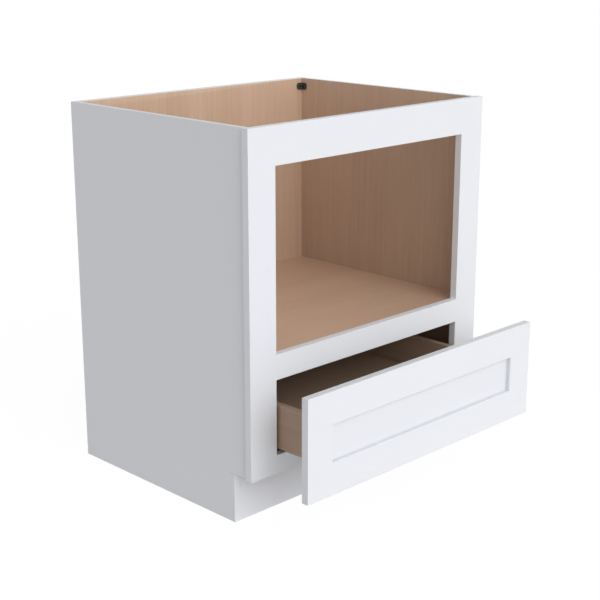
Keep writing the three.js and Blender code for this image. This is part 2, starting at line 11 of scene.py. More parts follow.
import bmesh
import bpy
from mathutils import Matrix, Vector


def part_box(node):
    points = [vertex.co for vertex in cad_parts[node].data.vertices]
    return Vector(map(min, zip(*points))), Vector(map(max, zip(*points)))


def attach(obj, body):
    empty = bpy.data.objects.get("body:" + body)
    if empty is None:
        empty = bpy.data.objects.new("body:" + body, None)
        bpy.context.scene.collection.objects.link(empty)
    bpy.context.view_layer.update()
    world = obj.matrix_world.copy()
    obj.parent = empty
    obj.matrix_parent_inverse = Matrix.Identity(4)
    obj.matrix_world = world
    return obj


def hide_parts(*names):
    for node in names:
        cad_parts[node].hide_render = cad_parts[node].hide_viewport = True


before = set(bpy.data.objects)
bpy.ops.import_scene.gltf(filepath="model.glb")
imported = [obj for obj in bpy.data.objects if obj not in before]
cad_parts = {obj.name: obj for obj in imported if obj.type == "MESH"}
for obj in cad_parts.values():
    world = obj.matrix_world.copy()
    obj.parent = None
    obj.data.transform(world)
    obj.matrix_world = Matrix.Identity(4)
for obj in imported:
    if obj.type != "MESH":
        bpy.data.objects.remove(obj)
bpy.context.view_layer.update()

MM = 0.001
X, Y, Z = range(3)
HANDS = ("left", "right")

# %% [markdown]
# ## The camera
# The real picture was taken from the front left, a little above the cabinet's top. A camera could
# be turned by eye until the outline fits. This one comes from a least-squares fit of 43 measured
# edges, which places them within about a pixel.

# %% Place the camera
def shown(name, data):
    """A camera, a light or a mesh as an object of the scene."""
    made = bpy.data.objects.new(name, data)
    bpy.context.scene.collection.objects.link(made)
    return made


CAMERA_TILT = 74.017
CAMERA_TURN = -44.8623

camera_data = bpy.data.cameras.new("camera")
camera_data.sensor_width = 36
camera_data.lens = 76.247
camera_data.clip_end = 200
camera = shown("camera", camera_data)
camera.location = (-2.07891, -2.07391, 1.24348)
camera.rotation_euler = (math.radians(CAMERA_TILT), 0, math.radians(CAMERA_TURN))
bpy.context.scene.camera = camera
print("camera looks down by", round(90 - CAMERA_TILT, 2), "degrees")

# %% [markdown]
# ## Node graphs as sums
# Shader and geometry graphs are easier to read as arithmetic than as boxes and wires. A small class
# stands for one socket, and its operators add the Math node that does the sum. Every other node
# comes from one method, which takes its type, its settings and what its sockets get.

# %% Wrap sockets and graphs
class Value:
    """One output socket, which can stand in a sum."""

    def __init__(self, graph, socket):
        self.graph = graph
        self.socket = socket

    def math(self, operation, *others):
        return self.graph.math(operation, self, *others)

    def __add__(self, other):
        return self.math("ADD", other)

    def __sub__(self, other):
        return self.math("SUBTRACT", other)

    def __rsub__(self, other):
        return self.graph.math("SUBTRACT", other, self)

    def __mul__(self, other):
        return self.math("MULTIPLY", other)

    def __truediv__(self, other):
        return self.math("DIVIDE", other)

    def __pow__(self, other):
        return self.math("POWER", other)

    def __mod__(self, other):
        return self.math("FLOORED_MODULO", other)

    def __gt__(self, other):
        return self.math("GREATER_THAN", other)

    def __abs__(self):
        return self.math("ABSOLUTE")

    def clamped(self):
        """The same, held between 0 and 1."""
        return self.math("MAXIMUM", 0).math("MINIMUM", 1)

    __radd__ = __add__
    __rmul__ = __mul__


class Graph:
    """A node tree that hands out its nodes' outputs as Values."""

    def __init__(self, tree):
        self.tree = tree

    def node(self, kind, settings=None, sockets=None, output=0):
        made = self.tree.nodes.new(kind)
        for name, setting in (settings or {}).items():
            setattr(made, name, setting)
        for name, given in (sockets or {}).items():
            for item in given if isinstance(given, list) else [given]:
                if isinstance(item, Value):
                    self.tree.links.new(item.socket, made.inputs[name])
                else:
                    made.inputs[name].default_value = item
        return Value(self, made.outputs[output]) if made.outputs else made

    def math(self, operation, *values):
        return self.node("ShaderNodeMath", {"operation": operation}, dict(enumerate(values)))

    def vector(self, operation, *values):
        settings = {"operation": operation}
        return self.node("ShaderNodeVectorMath", settings, dict(enumerate(values)))

    def part(self, vector, letter):
        return self.node("ShaderNodeSeparateXYZ", sockets={0: vector}, output=letter)

    def joined(self, x, y, z):
        return self.node("ShaderNodeCombineXYZ", sockets={0: x, 1: y, 2: z})

    def mix(self, factor, first, second):
        settings = {"data_type": "RGBA"}
        return self.node("ShaderNodeMix", settings, {0: factor, 6: first, 7: second}, 2)


def emptied(owner):
    """The graph of a world or a material, without the nodes that it starts with."""
    owner.use_nodes = True
    owner.node_tree.nodes.clear()
    return Graph(owner.node_tree)


# %% [markdown]
# ## Light, floor and backdrop
# The cabinet stands in an even white studio. Its front is the brightest side, its top edges get
# about three quarters of that and its left side a little over half. A white world gives the side
# its share, and is several times brighter towards the front, as a room with a large soft box is.
# One very wide, soft sun from the front, a little to the left and above eye level, adds the rest.
# The background shall be pure white, so rays from the camera, or that gloss and glass send out, see
# the world at full white, while the light itself stays lower.

# %% Light the studio
AMBIENT = 0.264
FRONT_GLOW = 0.9
SUN_STRENGTH = 1.012
SUN_ELEVATION = 30
SUN_SPREAD = 40
SUN_TURN = -11

world = bpy.data.worlds.new("studio")
bpy.context.scene.world = world
sky = emptied(world)


def seen_by_eye(graph):
    """1 for rays whose background a viewer sees, straight or by gloss or glass, and 0 for light."""
    rays = [
        graph.node("ShaderNodeLightPath", output=name)
        for name in ("Is Camera Ray", "Is Glossy Ray", "Is Transmission Ray")
    ]
    return graph.math("MINIMUM", rays[0] + rays[1] + rays[2], 1)


looking = sky.node("ShaderNodeTexCoord", output="Generated")
frontward = sky.math("MAXIMUM", 0 - sky.part(looking, "Y"), 0)
glow = AMBIENT + FRONT_GLOW * frontward
strength = glow + (1 - glow) * seen_by_eye(sky)
sky_light = sky.node(
    "ShaderNodeBackground", sockets={"Color": (1, 1, 1, 1), "Strength": strength}
)
sky.node("ShaderNodeOutputWorld", sockets={"Surface": sky_light})

sun_data = bpy.data.lights.new("front_light", "SUN")
sun_data.energy = SUN_STRENGTH
sun_data.angle = math.radians(SUN_SPREAD)
sun = shown("front_light", sun_data)
sun.rotation_euler = (math.radians(90 - SUN_ELEVATION), 0, math.radians(SUN_TURN))
bpy.context.scene.view_settings.view_transform = "Standard"
print("ambient", AMBIENT, "sun", SUN_STRENGTH)

# %% [markdown]
# The floor is white paper. Where a viewer sees it, most of its colour comes from a plain emission
# of its own, so that it melts into the background, and a small diffuse share keeps the cabinet's
# soft shadow on it. For all other light it is ordinary pale card, which throws light back up.

# %% Lay the floor
FLOOR_REACH = 30
FLOOR_DROP = 0.2 * MM
CARD_LIGHT = (0.83, 0.83, 0.83, 1)
CARD_DEEP = (0.80, 0.80, 0.80, 1)
CARD_GLOW = 1.04
GLOW_SHARE = 0.93


def mesh_of(name, form):
    """The mesh of a form that is done."""
    mesh = bpy.data.meshes.new(name)
    form.to_mesh(mesh)
    form.free()
    return mesh


floor_form = bmesh.new()
bmesh.ops.create_circle(floor_form, cap_ends=True, segments=64, radius=FLOOR_REACH)
floor = shown("floor", mesh_of("floor", floor_form))
floor.location.z = -FLOOR_DROP

floor_finish = bpy.data.materials.new("floor_card")
card = emptied(floor_finish)
card_grain = card.node("ShaderNodeTexNoise", sockets={"Scale": 220.0, "Detail": 2.0})
card_tone = card.mix(card_grain, CARD_DEEP, CARD_LIGHT)
card_plain = card.node("ShaderNodeBsdfDiffuse", sockets={"Color": card_tone})
card_glow = card.node("ShaderNodeEmission", sockets={"Strength": CARD_GLOW})
card_share = seen_by_eye(card) * GLOW_SHARE
card_mixed = card.node(
    "ShaderNodeMixShader", sockets={0: card_share, 1: card_plain, 2: card_glow}
)
card.node("ShaderNodeOutputMaterial", sockets={"Surface": card_mixed})
floor.data.materials.append(floor_finish)
print("floor radius", FLOOR_REACH, "m")

# %% [markdown]
# ## What every finish shares
# Each finish is a Principled surface with a pattern for its colour, one for its gloss and one for
# its relief. All patterns read Object coordinates, which are real metres here because every piece
# lies at the origin, so a scale of 1000 is a grain of a millimetre.

# %% Start a finish
def new_finish(name):
    material = bpy.data.materials.new(name)
    graph = emptied(material)
    graph.material = material
    return graph, graph.node("ShaderNodeTexCoord", output="Object")


def noise(graph, place, scale, detail=2.0, rough=0.5, output=0):
    sockets = {"Vector": place, "Scale": scale, "Detail": detail, "Roughness": rough}
    return graph.node("ShaderNodeTexNoise", sockets=sockets, output=output)


def relief(graph, height, depth):
    return graph.node("ShaderNodeBump", sockets={"Height": height, "Distance": depth})


def surface(graph, **sockets):
    named = {name.replace("_", " "): given for name, given in sockets.items()}
    shader = graph.node("ShaderNodeBsdfPrincipled", sockets=named)
    graph.node("ShaderNodeOutputMaterial", sockets={"Surface": shader})
    return graph.material


# %% [markdown]
# ## White paint
# The face frame, the sides' outer faces, the toe board and the drawer front are sprayed with a
# white satin paint, a trace cooler than neutral. Sprayed paint dries with a very fine orange peel,
# about a millimetre across and a few microns deep, and its gloss wanders a little. A flat white
# would do from afar, but the peel breaks up highlights near by.

# %% Mix the white paint
PAINT_LIGHT = (0.872, 0.889, 0.928, 1)
PAINT_DEEP = (0.850, 0.867, 0.908, 1)
# A grey that the paint is mixed towards, as painted shade.
PAINTED_SHADE_GREY = (0.759, 0.772, 0.806, 1)
PEEL_DEPTH = 0.006 * MM


def painted(name, painted_shade=None):
    """Paint, mixed towards a grey as painted shade where the given function gives more than 0."""
    graph, place = new_finish(name)
    drift = noise(graph, place, 5.0, 3.0)
    cloud = noise(graph, place, 42.0, 2.0)
    peel = noise(graph, place, 1100.0, 1.0)
    grit = noise(graph, place, 3600.0, 1.0)
    tone = graph.mix(drift * 0.7 + cloud * 0.3, PAINT_DEEP, PAINT_LIGHT)
    if painted_shade:
        tone = graph.mix(painted_shade(graph, place), tone, PAINTED_SHADE_GREY)
    return surface(
        graph,
        Base_Color=tone,
        Roughness=0.36 + cloud * 0.08 + grit * 0.06,
        Normal=relief(graph, peel * 0.8 + grit * 0.2, PEEL_DEPTH),
    )


white_paint = painted("white_paint")
print("paint:", white_paint.name)

# %% [markdown]
# ## Maple veneer and boards
# Inside, the cabinet is maple plywood under a clear coat: pinkish tan, with fine straight grain and
# soft wide bands. The grain stands upright on the back and the sides, and runs across the deck.
# The upright boards are painted lighter towards their open top, and the deck lighter towards its
# left and darker towards its right: painted light and shade, where more or less light falls in. A
# photograph of veneer could be wrapped on, but a pattern in metres never repeats and stays sharp.
# Noise is stretched thirtyfold along the grain at four sizes: bands, streaks, fibres and pores. A
# slow sideways sway keeps the lines from being ruler-straight.

# %% Figure the maple
GRAIN_SQUEEZE = 0.033
GRAIN_SWAY = 0.010
FIGURE_CONTRAST = 2.6
PORE_LEVEL = 0.62
PORE_TONE = 0.55
GRAIN_DEPTH = 0.02 * MM


def maple(name, along, light, deep, contrast, drift=None):
    """Veneer or board. A drift is painted light and shade: an axis, its start and end there, and
    two gains, an even one from darker to lighter along the way, and one that comes in near the end."""
    graph, place = new_finish(name)
    stretch = tuple(GRAIN_SQUEEZE if letter == along else 1.0 for letter in "xyz")
    sway = tuple(0.0 if letter == along else GRAIN_SWAY for letter in "xyz")
    slow = tuple(0.5 if letter == along else 1.6 for letter in "xyz")
    wander = noise(graph, graph.vector("MULTIPLY", place, slow), 1.0, 1.0, output="Color")
    wander = graph.vector("SUBTRACT", wander, (0.5, 0.5, 0.5))
    bent = graph.vector("ADD", place, graph.vector("MULTIPLY", wander, sway))
    grain = graph.vector("MULTIPLY", bent, stretch)
    bands = noise(graph, grain, 13.0, 2.0)
    streaks = noise(graph, grain, 105.0, 3.0, 0.62)
    fibres = noise(graph, grain, 760.0, 2.0)
    pores = noise(graph, grain, 2100.0, 1.0)
    figure = bands * 0.34 + streaks * 0.47 + fibres * 0.19
    figure = ((figure - 0.5) * FIGURE_CONTRAST * contrast + 0.5).clamped()
    tone = graph.mix(figure, deep, light)
    dash = graph.math("MAXIMUM", pores - PORE_LEVEL, 0) * 2.4
    pore_tone = (*(share * PORE_TONE for share in deep[:3]), 1)
    tone = graph.mix(graph.math("MINIMUM", dash, 0.5), tone, pore_tone)
    # Painted light and shade: the tone grows lighter along an axis, and more so near its end.
    if drift:
        axis, start, end, gain, rim_light_gain = drift
        way = ((graph.part(place, axis) - start) / (end - start)).clamped()
        brighter = 1 - gain + way * 2 * gain + way ** 6 * rim_light_gain
        tone = graph.vector("MULTIPLY", tone, graph.joined(brighter, brighter, brighter))
    return surface(
        graph,
        Base_Color=tone,
        Roughness=0.46 + streaks * 0.08 + fibres * 0.06,
        Coat_Weight=0.15,
        Coat_Roughness=0.34,
        Normal=relief(graph, fibres * 0.6 + streaks * 0.4 - dash * 0.5, GRAIN_DEPTH),
    )


BACK_LIGHT = (0.606, 0.426, 0.307, 1)
BACK_DEEP = (0.524, 0.354, 0.246, 1)
SIDE_LIGHT = (0.584, 0.429, 0.321, 1)
SIDE_DEEP = (0.505, 0.356, 0.258, 1)
DECK_LIGHT = (0.666, 0.467, 0.336, 1)
DECK_DEEP = (0.577, 0.387, 0.270, 1)
# A darker copy of the drawer maple, used only on the left drawer side: painted shade of the gap
# behind the drawer front.
SHADED_BOARD_LIGHT = (0.430, 0.296, 0.210, 1)
SHADED_BOARD_DEEP = (0.362, 0.241, 0.167, 1)
PALE_LIGHT = (0.490, 0.372, 0.282, 1)
PALE_DEEP = (0.412, 0.303, 0.224, 1)
UPRIGHT_CONTRAST = 1.4
DECK_CONTRAST = 0.85
BOARD_CONTRAST = 1.1
# Painted light: the upright boards lighter towards their open top; the deck lighter towards its
# left and darker towards its right, where the right side shades it.
PAINTED_LIGHT_UP_THE_BAY = ("Z", 0.40, 0.87)
PAINTED_LIGHT_ALONG_THE_DECK = ("X", 0.32, -0.14)

maple_back = maple("maple_back", "z", BACK_LIGHT, BACK_DEEP, UPRIGHT_CONTRAST,
                   (*PAINTED_LIGHT_UP_THE_BAY, 0.1, 0))
maple_side = maple("maple_side", "z", SIDE_LIGHT, SIDE_DEEP, UPRIGHT_CONTRAST,
                   (*PAINTED_LIGHT_UP_THE_BAY, 0.11, 0.14))
maple_across = maple("maple_across", "x", DECK_LIGHT, DECK_DEEP, DECK_CONTRAST,
                     (*PAINTED_LIGHT_ALONG_THE_DECK, 0.11, 0))
board_across = maple("maple_board_across", "x", PALE_LIGHT, PALE_DEEP, BOARD_CONTRAST)
board_shaded = maple("maple_board_shaded", "y", SHADED_BOARD_LIGHT, SHADED_BOARD_DEEP, BOARD_CONTRAST)
board_pale = maple("maple_board_pale", "y", PALE_LIGHT, PALE_DEEP, BOARD_CONTRAST)
print("veneers:", maple_back.name, maple_side.name, maple_across.name)
print("boards:", board_across.name, board_shaded.name, board_pale.name)

# %% [markdown]
# ## Cut edges
# Where plywood is sawn and left bare, such as under the sides and behind the deck, its plies show
# as stripes of long and end grain with dark glue between them. The stripes are worked out from the
# distance into the board, so each board gets whole plies. Solid drawer boards show end grain at
# their dovetails instead: short, dense specks.

# %% Stripe the plies and speck the end grain
PLY_LONG = (0.585, 0.405, 0.262, 1)
PLY_END = (0.400, 0.262, 0.160, 1)
PLY_GLUE = (0.170, 0.098, 0.055, 1)
PLY_SHARE = 0.44
PLY_WAVER = 0.24
SAWN_DEPTH = 0.08 * MM
END_LIGHT = (0.50, 0.34, 0.222, 1)
END_DEEP = (0.30, 0.19, 0.115, 1)
SPECK_DEPTH = 0.06 * MM


def plies(name, across, start, thickness, count):
    """Stripes across a board that begins at start on that axis; both hands mirror on x."""
    graph, place = new_finish(name)
    depth = (abs(graph.part(place, across.upper())) - start) / thickness * count
    waver = noise(graph, place, 60.0, 2.0)
    depth = depth + (waver - 0.5) * PLY_WAVER
    turned = depth % 2 > 1
    wood = graph.math("LESS_THAN", abs(depth % 1 - 0.5), PLY_SHARE)
    fibres = noise(graph, place, 900.0, 3.0)
    tone = graph.mix(turned * (0.75 + fibres * 0.5), PLY_LONG, PLY_END)
    tone = graph.mix(wood, PLY_GLUE, tone)
    return surface(
        graph,
        Base_Color=tone,
        Roughness=0.72 + fibres * 0.14,
        Normal=relief(graph, fibres * 0.6 + wood * 0.4, SAWN_DEPTH),
    )


def end_grain(name):
    graph, place = new_finish(name)
    rings = noise(graph, place, 160.0, 2.0)
    specks = noise(graph, place, 1700.0, 2.0)
    tone = graph.mix(rings * 0.5 + specks * 0.5, END_DEEP, END_LIGHT)
    return surface(
        graph,
        Base_Color=tone,
        Roughness=0.66 + specks * 0.16,
        Normal=relief(graph, specks, SPECK_DEPTH),
    )


board_end = end_grain("maple_end_grain")
print("end grain:", board_end.name)

# %% [markdown]
# ## Metals and mouldings
# The slides are zinc-plated rolled steel: bright, faintly clouded, and drawn lengthwise by the
# rolls. The plastics are moulded nylon with a fine spark-eroded texture. The release levers are
# orange acetal, so that a hand finds them under the drawer, and the bumpers are clear rubber.

# %% Plate the steel
ZINC_LIGHT = (0.70, 0.71, 0.715, 1)
ZINC_DEEP = (0.50, 0.515, 0.53, 1)
BLACK_LIGHT = (0.045, 0.046, 0.05, 1)
BLACK_DEEP = (0.014, 0.014, 0.015, 1)
ROLLED_STRETCH = (1.0, 0.02, 1.0)
ROLLED_DEPTH = 0.012 * MM
BLOOM_DEPTH = 0.01 * MM


def rolled_zinc(name):
    graph, place = new_finish(name)
    drawn = graph.vector("MULTIPLY", place, ROLLED_STRETCH)
    lines = noise(graph, drawn, 1500.0, 3.0)
    clouds = noise(graph, place, 55.0, 3.0, 0.6)
    spots = noise(graph, place, 700.0, 1.0)
    tone = graph.mix(clouds * 0.6 + lines * 0.4, ZINC_DEEP, ZINC_LIGHT)
    return surface(
        graph,
        Base_Color=tone,
        Metallic=0.96 - spots * 0.08,
        Roughness=0.24 + lines * 0.12 + clouds * 0.12,
        Normal=relief(graph, lines, ROLLED_DEPTH),
    )


def dark_steel(name):
    graph, place = new_finish(name)
    bloom = noise(graph, place, 900.0, 3.0, 0.65)
    worn = noise(graph, place, 240.0, 2.0)
    tone = graph.mix(bloom * 0.5 + worn * 0.5, BLACK_DEEP, BLACK_LIGHT)
    return surface(
        graph,
        Base_Color=tone,
        Metallic=0.55 + worn * 0.2,
        Roughness=0.34 + bloom * 0.2,
        Normal=relief(graph, bloom, BLOOM_DEPTH),
    )


zinc_steel = rolled_zinc("zinc_steel")
black_screw = dark_steel("black_screw")
print("steels:", zinc_steel.name, black_screw.name)

# %% Mould the plastics
SPARK_TEXTURE = 0.018 * MM
SMOOTH_TEXTURE = 0.004 * MM


def moulded(name, low, high, roughness, texture=SPARK_TEXTURE, **more):
    graph, place = new_finish(name)
    pits = noise(graph, place, 2600.0, 2.0)
    flow = noise(graph, place, 70.0, 2.0)
    tone = graph.mix(flow * 0.55 + pits * 0.45, low, high)
    return surface(
        graph,
        Base_Color=tone,
        Roughness=roughness + pits * 0.10 + flow * 0.05,
        Normal=relief(graph, pits, texture),
        **more,
    )


black_plastic = moulded("black_plastic", (0.030, 0.034, 0.033, 1), (0.050, 0.055, 0.053, 1), 0.42)
grey_plastic = moulded("grey_plastic", (0.235, 0.245, 0.255, 1), (0.29, 0.30, 0.31, 1), 0.42)
orange_plastic = moulded("orange_plastic", (0.58, 0.16, 0.02, 1), (0.68, 0.205, 0.032, 1), 0.32)
clear_rubber = moulded(
    "clear_rubber", (0.66, 0.69, 0.69, 1), (0.76, 0.78, 0.78, 1), 0.18, SMOOTH_TEXTURE,
    Transmission_Weight=0.6, IOR=1.45,
)
print("plastics:", black_plastic.name, grey_plastic.name, orange_plastic.name, clear_rubber.name)

# %% [markdown]
# ## Boards from solids
# A CAD solid has perfect knife edges and arrives as loose triangles. The real boards are sanded, so
# each edge has a radius of about half a millimetre, which catches a thin line of light. Each board
# is a copy of its solid: corners merged, flat areas joined, chosen edges rounded. Which edges are
# rounded matters. A painted joint between rail and stile is filled and sanded flush, so the edges
# there stay sharp and the glue gap of the solids is closed, and no seam shows.

# %% Copy, close and ease
NEAR = 0.02 * MM
FLAT = math.radians(0.5)
BENT = math.radians(40)


def merged(node):
    form = bmesh.new()
    form.from_mesh(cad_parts[node].data)
    bmesh.ops.remove_doubles(form, verts=form.verts, dist=NEAR)
    bmesh.ops.dissolve_limit(form, angle_limit=FLAT, verts=form.verts, edges=form.edges)
    return form


def shift(form, axis, start, end, mirrored=True):
    """Moves the vertices that lie at one place on an axis to another, on both hands if mirrored."""
    count = 0
    for vertex in form.verts:
        here = vertex.co[axis]
        if abs((abs(here) if mirrored else here) - start) < NEAR:
            vertex.co[axis] = math.copysign(end, here) if mirrored else end
            count += 1
    assert count, f"nothing lies at {start} on axis {axis}"


def cut_across(form, levels):
    """Parts the skin at some heights, so that an edge that runs past them can be eased in part."""
    for level in levels:
        everything = list(form.verts) + list(form.edges) + list(form.faces)
        bmesh.ops.bisect_plane(form, geom=everything, dist=NEAR / 10, plane_co=(0, 0, level),
                               plane_no=(0, 0, 1))


def runs_along(edge, axis):
    ends = edge.verts[0].co - edge.verts[1].co
    return abs(ends[axis]) > 0.999 * ends.length


def middle(edge):
    return (edge.verts[0].co + edge.verts[1].co) / 2


def ease(form, width, wanted, segments=2):
    edges = [
        edge for edge in form.edges
        if len(edge.link_faces) == 2 and edge.is_convex
        and edge.calc_face_angle() > BENT and wanted(edge)
    ]
    bmesh.ops.bevel(
        form, geom=edges, offset=width, offset_type="OFFSET", segments=segments, profile=0.5,
        affect="EDGES", clamp_overlap=True,
    )
    return len(edges)


# %% Give a piece its finish and its body
def place_piece(name, mesh, body, replaced, smooth=None, finish=None):
    """Shows a mesh as a piece that rides on a body in place of the CAD nodes."""
    if finish:
        mesh.materials.append(finish)
    if smooth:
        mesh.shade_smooth()
        mesh.set_sharp_from_angle(angle=math.radians(smooth))
    mesh.name = name
    piece = shown(name, mesh)
    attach(piece, body)
    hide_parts(*replaced)


def settle(name, form, body, finishes, rule=None, replaced=(), smooth=None):
    """Turns the form into a piece. The rule picks a finish for each face by its number."""
    bmesh.ops.dissolve_degenerate(form, dist=NEAR / 4, edges=form.edges)
    for face in form.faces:
        face.material_index = rule(face) if rule else 0
    mesh = mesh_of(name, form)
    for finish in finishes:
        mesh.materials.append(finish)
    place_piece(name, mesh, body, replaced, smooth)


def settle_white(name, form, body, finish, node):
    settle(name, form, body, [finish], replaced=[node])


# %% [markdown]
# ## The face frame
# Two stiles and three rails, mortised and tenoned, glued and painted as one. It could be cut from a
# single sheet here, but the real frame has five boards, so it stays five. A stile's inner edge is
# eased only beside the openings, and a rail's edges only between its shoulders.

# %% Read the frame's levels
EASE = 0.6 * MM
GLUE = 0.25 * MM
RAILS = ("bottom", "middle", "top")
stile_low, stile_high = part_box("frame_stile_right")
opening_half = stile_low.x
half_width = stile_high.x
frame_front = stile_low.y
frame_back = stile_high.y
rail_levels = [tuple(corner.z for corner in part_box(f"frame_{name}_rail")) for name in RAILS]
print("opening is", round(2 * opening_half / MM), "mm wide")

# %% Make rails and stiles
def on_skin(edge, x=None, y=None, z=None):
    """Whether an edge's middle lies on one of the given outer planes."""
    at = middle(edge)
    return all(
        planes is None or any(abs(value - plane) < NEAR for plane in planes)
        for value, planes in ((abs(at.x), x), (at.y, y), (at.z, z))
    )


def stile_edge(edge):
    """Whether an edge of a stile is eased: outside, at its ends, and beside the openings."""
    at = middle(edge)
    if runs_along(edge, Z) and on_skin(edge, y=(frame_front, frame_back)):
        beside_rail = any(low - NEAR < at.z < high + NEAR for low, high in rail_levels)
        return abs(abs(at.x) - half_width) < NEAR or (
            abs(abs(at.x) - opening_half) < NEAR and not beside_rail)
    ends = (rail_levels[0][0], rail_levels[2][1])
    if runs_along(edge, X):
        return abs(at.y - frame_front) < NEAR and on_skin(edge, z=ends)
    return runs_along(edge, Y) and on_skin(edge, x=(half_width,), z=ends)


for name, levels in zip(RAILS, rail_levels):
    form = merged(f"frame_{name}_rail")
    shift(form, X, opening_half - GLUE, opening_half)
    ease(form, EASE, lambda edge: (
        runs_along(edge, X) and on_skin(edge, y=(frame_front, frame_back), z=levels)
    ))
    settle_white(f"face_{name}_rail", form, "carcass", white_paint, f"frame_{name}_rail")

for hand in HANDS:
    form = merged(f"frame_stile_{hand}")
    cut_across(form, sum(rail_levels, ())[1:-1])
    ease(form, EASE, stile_edge)
    settle_white(f"face_stile_{hand}", form, "carcass", white_paint, f"frame_stile_{hand}")
print("face frame: 5 boards")

# %% [markdown]
# ## Carcass panels
# Each side is plywood, painted outside and on its top and front edges, and maple inside. The back,
# the deck and the floor are maple on both faces, and the back's top edge is painted to match the
# rim. Every face of a panel gets its finish by the way it looks: a rule reads the face's normal and
# its place. Dados and sawn edges show plies.

# %% Dress the sides
side_low, side_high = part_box("side_panel_right")
side_inner = side_low.x
side_outer = side_high.x
cabinet_top = side_high.z
cabinet_back = side_high.y
side_plies = plies("side_plies", "x", side_inner, side_outer - side_inner, 9)
PANEL_EASE = 0.5 * MM
PANEL_EDGE = 40 * MM
TOE_TOP = 120 * MM
PAINT, VENEER, SAWN = range(3)


def side_rule(face):
    """Paint outside and on the edges that show, veneer inside, bare plies in dados and below."""
    normal = face.normal
    at = face.calc_center_median()
    if abs(normal.x) > 0.9:
        if normal.x * at.x > 0:
            return PAINT
        return VENEER if abs(abs(at.x) - side_inner) < NEAR else SAWN
    if at.z < 1 * MM or at.y > cabinet_back - 1 * MM:
        return SAWN
    in_dado = abs(abs(at.x) - (side_inner + side_outer) / 2) > 1 * MM
    at_edge = min(abs(at.x) - side_inner, side_outer - abs(at.x)) < 0.6 * MM
    return SAWN if in_dado and not at_edge else PAINT


for hand in HANDS:
    form = merged(f"side_panel_{hand}")
    ease(form, PANEL_EASE, lambda edge: (
        not runs_along(edge, X) and on_skin(edge, x=(side_outer, side_inner))
        and edge.calc_length() > PANEL_EDGE
        and (middle(edge).z > cabinet_top - NEAR or middle(edge).y > cabinet_back - NEAR
             or middle(edge).z < TOE_TOP)
    ))
    settle(f"side_board_{hand}", form, "carcass",
           [white_paint, maple_side, side_plies], side_rule, [f"side_panel_{hand}"])
print("sides are", round((side_outer - side_inner) / MM, 1), "mm plywood")

# %% Dress the back, the deck, the floor and the toe board
SHEET_EASE = 0.4 * MM
SHEET_EDGE = 60 * MM


def sheet(node, name, face_axis, ply_count, faces, painted_side=None, closing=0):
    """A plywood board: one finish on its two faces, plies on its edges, and paint if named."""
    low, high = (corner[face_axis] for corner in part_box(node))
    edge_finish = plies(f"{name}_plies", "xyz"[face_axis], low, high - low, ply_count)
    form = merged(node)
    if closing:
        shift(form, face_axis, high, high + closing, mirrored=False)

    def rule(face):
        if painted_side and painted_side(face):
            return 2
        return 0 if abs(face.normal[face_axis]) > 0.7 else 1

    ease(form, SHEET_EASE, lambda edge: (
        edge.calc_length() > SHEET_EDGE
        and min(abs(middle(edge)[face_axis] - face) for face in (low, high)) < NEAR
    ))
    settle(name, form, "carcass",
           [faces, edge_finish, white_paint], rule, [node])
    return high


sheet("back_panel", "back_board", Y, 13, maple_back,
      lambda face: face.normal.z > 0.3 and face.calc_center_median().z > cabinet_top - 1 * MM)
deck_top = sheet("microwave_deck", "deck_board", Z, 13, maple_across)
sheet("cabinet_floor", "floor_board", Z, 9, maple_across)
sheet("toe_board", "toe_kick_board", Y, 9, white_paint,
      lambda face: abs(face.normal.x) > 0.3, closing=GLUE)
print("deck top at", round(deck_top / MM, 1), "mm")

# %% [markdown]
# ## The drawer front
# A recessed-panel front: two stiles, two rails and a thin panel, painted as one. The recess has
# square walls. Inside the frame's joints the glue gaps are closed, and only the outer edges and the
# edges of the recess are eased.

# %% Make the drawer front
front_low, front_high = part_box("front_stile_right")
front_outer = front_high.x
front_faces = (front_low.y, front_high.y)
panel_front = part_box("front_panel")[0].y
stile_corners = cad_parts["front_stile_right"].data.vertices
border_inner = round(min(corner.co.x for corner in stile_corners), 6)
recess_face = panel_front - GLUE
border = front_outer - border_inner
inner_levels = (front_low.z + border, front_high.z - border)
outer_levels = (front_low.z, front_high.z)
lap_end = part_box("front_top_rail")[1].x
RECESS_EASE = 1.2 * MM
# The recess's walls, the paint beside them and, a little, the whole panel are mixed towards a grey:
# painted shade of the recess.
PAINTED_SHADE_REACH = 5 * MM
PANEL_PAINTED_SHADE = 0.2


def recess_painted_shade(graph, place):
    """Painted shade of the recess: 0 on the border, a little on the panel, and most on the recess's
    walls and beside them.
    """
    x, y, z = (graph.part(place, letter) for letter in "XYZ")
    depth = (y - front_low.y) / (recess_face - front_low.y)
    depth = (depth * 2).clamped()
    upright = graph.math("MINIMUM", z - inner_levels[0], inner_levels[1] - z)
    inside = graph.math("MINIMUM", border_inner - abs(x), upright)
    near_wall = graph.math("MAXIMUM", 1 - abs(inside) / PAINTED_SHADE_REACH, 0)
    return depth * (PANEL_PAINTED_SHADE + (1 - PANEL_PAINTED_SHADE) * near_wall)


def front_edge(edge):
    """Whether an edge of a stile is eased: on its outer side and at its ends."""
    if runs_along(edge, Z):
        return on_skin(edge, x=(front_outer,))
    if runs_along(edge, X):
        return on_skin(edge, y=front_faces, z=outer_levels)
    return runs_along(edge, Y) and on_skin(edge, x=(front_outer,), z=outer_levels)


# The drawer front's paint carries painted shade in and beside its recess.
white_and_painted_shade = painted("drawer_front_white_and_painted_shade", recess_painted_shade)

